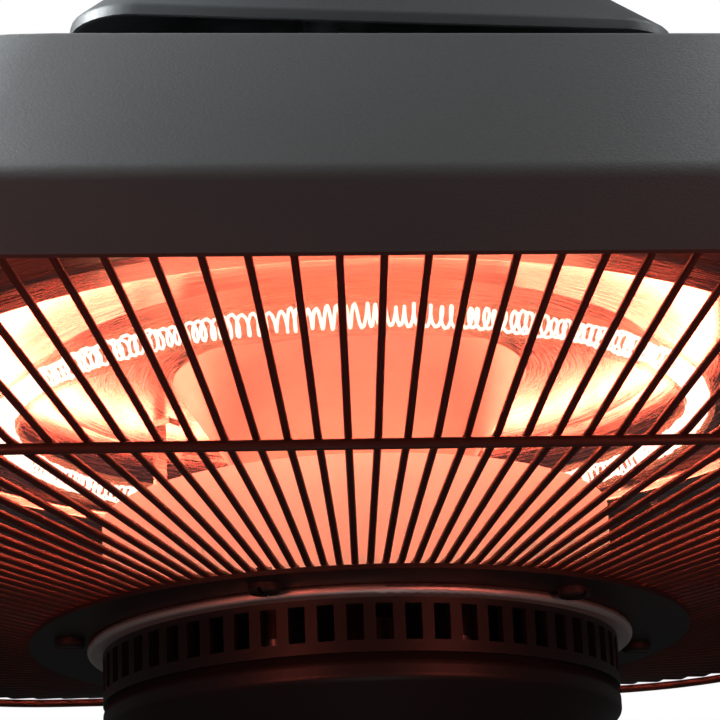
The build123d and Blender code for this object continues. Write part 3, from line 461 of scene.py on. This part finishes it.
# %% Finish of each carried-over node
DRESS = {
    zinc: ("ceiling_plate", "pivot_bracket", "bracket_rivets", "pivot_pin", "pin_clip", "hanging_yoke",
           "stem_tube", "stem_nuts", "stem_washers", "cap_spacer", "wiring_box", "wiring_box_lid",
           "top_plate", "top_screws", "shield_posts", "post_screws", "earth_stud", "board_posts",
           "power_spring", "heat_spring"),
    pan_metal: ("reflector_pan", "drum_stays"),
    cone_metal: ("core_cone",),
    drum_metal: ("reflector_drum",),
    quartz: ("lamp_tube",),
    seal_metal: ("lamp_seals", "lamp_clips"),
    ceramic: ("lamp_end_caps", "terminal_block"),
    lead_sleeve: ("lamp_leads",),
    fibre: ("drum_insulation",),
    wire_coat: ("grille_wires_front", "grille_wires_right", "grille_wires_back", "grille_wires_left",
                "grille_frame_wire", "grille_middle_wire", "frame_clips"),
    plate_coat: ("hub_plate", "hub_screws", "hub_chassis", "cup_posts", "drum_base"),
    shield_metal: ("heat_shield",),
    trim_metal: ("trim_ring",),
    hub_plastic: ("vent_ring", "hub_cup"),
    panel_plastic: ("control_panel",),
    board_green: ("control_board",),
    relay_black: ("board_parts", "button_switches"),
    button_plastic: ("power_button", "heat_button"),
    window_red: ("receiver_window",),
    lens_red: ("indicator_lens",),
    gland_plastic: ("cable_gland", "gland_nut"),
    hood_paint: ("hood_shell",),
    cap_paint: ("roof_cap",),
    coil_glow: ("lamp_filament",),
}
for material, names in DRESS.items():
    for name in names:
        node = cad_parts[name]
        node.data.materials.clear()
        node.data.materials.append(material)
dressed = {name for names in DRESS.values() for name in names}
print("dressed", len(dressed), "nodes; bare:", sorted(set(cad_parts) - dressed))

# %% [markdown]
# ## The hood
# The hood is one deep-drawn sheet: a short skirt, a soft crease, a sloping upper face and a flat top, all
# on a square with large rounded corners. It is built as a fabricator would loft it: one rounded square per
# height, made from a plane with its four corners bevelled, then bridged, filled on top and given a wall.
# First comes the line that it follows, in millimetres, with an arc at each bend. A size such as RIM_SIZE
# is a half width with its corner radius.

# %% Profile with soft bends
def soft_profile(corners, bends, steps):
    """A (half width, height) line with arcs at its inner corners; the last corner only gives direction."""
    line = [Vector(corners[0])]
    for before, here, after, bend in zip(corners, corners[1:], corners[2:], bends):
        here = Vector(here)
        first = (Vector(before) - here).normalized()
        second = (Vector(after) - here).normalized()
        half_angle = first.angle(second) / 2
        centre = here + (first + second).normalized() * (bend / math.sin(half_angle))
        start = here + first * (bend / math.tan(half_angle)) - centre
        end = here + second * (bend / math.tan(half_angle)) - centre
        swing = start.angle(end)
        for step in range(steps + 1):
            part = step / steps
            spoke = (start * math.sin((1 - part) * swing) + end * math.sin(part * swing)) / math.sin(swing)
            line.append(centre + spoke)
    return line


# %% Rounded square rings and the shell between them
WALL = 1.2 * MM
TOP_INSET = 4 * MM


def corner_radius(half, foot, top):
    """Foot and top are half widths with their corner radii, and the radius changes evenly between them."""
    slope = (foot[1] - top[1]) / (foot[0] - top[0])
    return top[1] + slope * (half - top[0])


def add_square_ring(half, corner, height, steps):
    """Inside edit mode: an open rounded square, its corners bevelled to arcs."""
    bpy.ops.mesh.select_all(action="DESELECT")
    bpy.ops.mesh.primitive_plane_add(size=2 * half, location=(0, 0, height))
    bpy.ops.mesh.bevel(offset=corner, segments=steps, affect="VERTICES", offset_type="OFFSET")
    bpy.ops.mesh.delete(type="ONLY_FACE")


def pressed_shell(name, profile, foot, top, steps):
    piece = start_mesh(name)
    for half, height in profile:
        add_square_ring(half * MM, corner_radius(half, foot, top) * MM, RIM + height * MM, steps)
    bpy.ops.mesh.select_all(action="SELECT")
    bpy.ops.mesh.bridge_edge_loops()
    bpy.ops.mesh.select_all(action="SELECT")
    bpy.ops.mesh.normals_make_consistent(inside=False)
    bpy.ops.mesh.select_all(action="DESELECT")
    bpy.ops.object.mode_set(mode="OBJECT")
    top_height = RIM + profile[-1][1] * MM
    for vertex in piece.data.vertices:
        vertex.select = abs(vertex.co.z - top_height) < SAME_PLACE
    bpy.ops.object.mode_set(mode="EDIT")
    bpy.ops.mesh.edge_face_add()
    bpy.ops.mesh.inset(thickness=TOP_INSET)
    end_mesh()
    solidify = piece.modifiers.new("wall", "SOLIDIFY")
    solidify.thickness = WALL
    solidify.offset = -1
    solidify.use_even_offset = True
    apply_all(piece)
    bpy.ops.object.shade_smooth_by_angle(angle=SMOOTH_ANGLE)
    return piece


# %% Hood shell
RIM_SIZE = (212.5, 115)
TOP_SIZE = (163, 86)
CREASE = (206, 21)
HOOD_TOP = 71
HOOD_BENDS = (16, 6)
hood_line = soft_profile(
    [(RIM_SIZE[0], HOOD_FOOT), CREASE, (TOP_SIZE[0], HOOD_TOP), (0, HOOD_TOP)], HOOD_BENDS, steps=8)
hood = pressed_shell("hood_pressing", hood_line, RIM_SIZE, TOP_SIZE, steps=14)
hood.data.materials.append(hood_paint)
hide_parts("hood_shell")
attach(hood, "heater")
print("hood faces:", len(hood.data.polygons))

# %% [markdown]
# ## The roof cap
# The cap over the wiring box is pressed from sheet too: a square pyramid cut off at the top, with a short
# upright hem at its foot. It is lofted and walled like the hood, and stands turned a little against it.

# %% Roof cap
CAP_FOOT_SIZE = (80, 16)
CAP_TOP_SIZE = (35, 9)
CAP_FOOT = 112
CAP_HEM = 3
CAP_TOP = 165
CAP_BENDS = (2, 5)
CAP_TURN = math.radians(4)
cap_line = soft_profile(
    [(CAP_FOOT_SIZE[0], CAP_FOOT), (CAP_FOOT_SIZE[0], CAP_FOOT + CAP_HEM), (CAP_TOP_SIZE[0], CAP_TOP),
     (0, CAP_TOP)], CAP_BENDS, steps=4)
cap = pressed_shell("roof_cap_pressing", cap_line, CAP_FOOT_SIZE, CAP_TOP_SIZE, steps=8)
cap.rotation_euler.z = CAP_TURN
bpy.ops.object.transform_apply(location=False, rotation=True, scale=False)
cap.data.materials.append(cap_paint)
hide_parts("roof_cap")
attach(cap, "heater")
print("roof cap faces:", len(cap.data.polygons))

# %% [markdown]
# ## The coil
# The lamp's filament is a fine coil that sags and bunches as it glows, so no two turns are alike. It is
# one curve wound round the ring's centre line, with a seeded random change of size and spacing from turn
# to turn, given the wire's thickness and turned into a mesh. LAMP_GAP is half the open part of the ring, at
# its back, where the lamp's two ends are.

# %% Sizes of the coil
LAMP_RADIUS = 95.4 * MM
LAMP_HEIGHT = RIM + 27 * MM
LAMP_GAP = math.radians(15.2)
COIL_TURNS = 236
POINTS_PER_TURN = 9
COIL_RADIUS = 2.75 * MM
COIL_WIRE = 0.42 * MM
COIL_SEED = 11
SIZE_RANGE = (0.8, 1.12)
SHIFT_RANGE = (-0.28, 0.28)
SAG_RANGE = (-0.35 * MM, 0.1 * MM)
print("turns:", COIL_TURNS, "on a ring of", round(LAMP_RADIUS / MM, 1), "mm")


# %% White-hot coil
def blended(values, turn, part):
    """A value that passes evenly from one turn's to the next one's."""
    return values[turn] * (1 - part) + values[turn + 1] * part


def wound_coil(name):
    dice = random.Random(COIL_SEED)
    sizes = [dice.uniform(*SIZE_RANGE) for _ in range(COIL_TURNS + 2)]
    shifts = [dice.uniform(*SHIFT_RANGE) for _ in range(COIL_TURNS + 2)]
    sags = [dice.uniform(*SAG_RANGE) for _ in range(COIL_TURNS + 2)]
    data = bpy.data.curves.new(name, "CURVE")
    data.dimensions = "3D"
    data.bevel_depth = COIL_WIRE
    data.bevel_resolution = 1
    spline = data.splines.new("POLY")
    count = COIL_TURNS * POINTS_PER_TURN
    spline.points.add(count)
    for place in range(count + 1):
        turn, part = divmod(place / POINTS_PER_TURN, 1)
        turn = int(turn)
        along = (turn + part + blended(shifts, turn, part)) / COIL_TURNS
        angle = math.pi / 2 + LAMP_GAP + (2 * math.pi - 2 * LAMP_GAP) * min(max(along, 0), 1)
        spin = 2 * math.pi * part
        radius = COIL_RADIUS * blended(sizes, turn, part)
        reach = LAMP_RADIUS + radius * math.cos(spin)
        rise = LAMP_HEIGHT + radius * math.sin(spin) + blended(sags, turn, part)
        spline.points[place].co = (reach * math.cos(angle), reach * math.sin(angle), rise, 1)
    piece = bpy.data.objects.new(name, data)
    bpy.context.scene.collection.objects.link(piece)
    only(piece)
    bpy.ops.object.convert(target="MESH")
    return bpy.context.object


coil = wound_coil("glowing_coil")
bpy.ops.object.shade_smooth()
coil.data.materials.clear()
coil.data.materials.append(coil_glow)
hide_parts("lamp_filament")
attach(coil, "heater")
print("coil faces:", len(coil.data.polygons))

# %% [markdown]
# ## Stage and light
# The room's light comes from above, as ceiling light does, so the hood's sloping faces are lit while
# everything under it is left to the heater's own fire. The floor and the background are pale to the
# camera, but send little light up.

# %% Floor
FLOOR_DROP = 1.35
FLOOR_SIZE = 12
FLOOR_PALE = 0.8
FLOOR_SHARE = 0.15
FLOOR_LIFT = 0.45
bpy.ops.object.select_all(action="DESELECT")
bpy.ops.mesh.primitive_plane_add(size=FLOOR_SIZE, location=(0, 0, RIM - FLOOR_DROP))
floor = bpy.context.object
floor.name = "floor"
floor_paint, tree, shader = finish("floor_paint", [FLOOR_PALE] * 3, 0.9)
seen = tree.nodes.new("ShaderNodeLightPath").outputs["Is Camera Ray"]
mixed(tree, shader, seen, [FLOOR_SHARE * FLOOR_PALE] * 3, [FLOOR_PALE] * 3)
shader.inputs["Emission Color"].default_value = (1, 1, 1, 1)
tree.links.new(add_math(tree, "MULTIPLY", seen, FLOOR_LIFT), shader.inputs["Emission Strength"])
floor.data.materials.append(floor_paint)
floor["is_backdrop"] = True
print("floor", FLOOR_DROP, "m under the rim")

# %% Background
DIM_LEVEL = 0.05
SKY_LEVEL = 0.25
SKY_START = 0.1
SKY_FULL = 0.8
world = bpy.data.worlds.new("room")
bpy.context.scene.world = world
world.use_nodes = True
tree = world.node_tree
background = tree.nodes["Background"]
paths = tree.nodes.new("ShaderNodeLightPath")
seen = add_math(tree, "MAXIMUM", paths.outputs["Is Camera Ray"], paths.outputs["Is Transmission Ray"])
upward = tree.nodes.new("ShaderNodeSeparateXYZ")
tree.links.new(tree.nodes.new("ShaderNodeTexCoord").outputs["Generated"], upward.inputs[0])
room_level = add_range(tree, upward.outputs["Z"], SKY_START, SKY_FULL, DIM_LEVEL, SKY_LEVEL)
tree.links.new(add_math(tree, "MAXIMUM", room_level, seen), background.inputs["Strength"])
background.inputs["Color"].default_value = (1, 1, 1, 1)
print("room light from", DIM_LEVEL, "to", SKY_LEVEL)

# %% [markdown]
# Two small cool lamps just above the hood's front give its face the bright left side and the fainter right
# one, a broad lamp hangs overhead and a far one stands to the left. A weak lamp below lifts the hub out of
# the black, and two small ember lamps lend the skirt the red that the glow gives it.

# %% Soft lamps
def soft_lamp(name, place, target, size, power, colour=(1, 1, 1)):
    data = bpy.data.lights.new(name, "AREA")
    data.shape = "SQUARE"
    data.size = size
    data.energy = power
    data.color = colour
    lamp = bpy.data.objects.new(name, data)
    bpy.context.scene.collection.objects.link(lamp)
    lamp.location = place
    lamp.rotation_euler = (Vector(target) - Vector(place)).to_track_quat("-Z", "Y").to_euler()


EMBER = (1.0, 0.16, 0.1)
COOL = (0.93, 0.98, 1.0)
HOOD_FRONT = (0, -0.18, RIM + 0.04)
LEFT_FACE = (-0.11, -0.18, RIM + 0.05)
RIGHT_FACE = (0.09, -0.18, RIM + 0.05)
HUB = (0, 0, RIM - 0.04)
LEFT_SKIRT = (-0.09, -0.212, RIM + 0.01)
RIGHT_SKIRT = (0.06, -0.212, RIM + 0.01)
soft_lamp("left_sheen", (-0.2, -0.12, RIM + 0.17), LEFT_FACE, size=0.1, power=2.2, colour=COOL)
soft_lamp("left_window", (-0.75, -0.5, RIM + 0.4), HOOD_FRONT, size=0.5, power=0.3)
soft_lamp("right_sheen", (0.2, -0.12, RIM + 0.2), RIGHT_FACE, size=0.15, power=0.35, colour=COOL)
soft_lamp("overhead", (0, 0.05, RIM + 1.2), (0, 0, RIM), size=0.9, power=0.5)
soft_lamp("hub_fill", (0, -0.2, RIM - 0.2), HUB, size=0.1, power=0.012)
soft_lamp("left_ember", (-0.16, -0.28, RIM - 0.06), LEFT_SKIRT, size=0.06, power=0.15, colour=EMBER)
soft_lamp("right_ember", (0.14, -0.28, RIM - 0.06), RIGHT_SKIRT, size=0.06, power=0.15, colour=EMBER)
bpy.context.scene.view_settings.view_transform = "Standard"
print("lamps:", len(bpy.data.lights))

# %% [markdown]
# ## The size
# The visual model's box and the CAD model's box are both printed, side by side.

seen_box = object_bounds()
boxes = {"cad": [list(corner) for corner in cad_box], "seen": [list(corner) for corner in seen_box]}
for label, corners in boxes.items():
    print(label, "box", [[round(value, 4) for value in corner] for corner in corners])
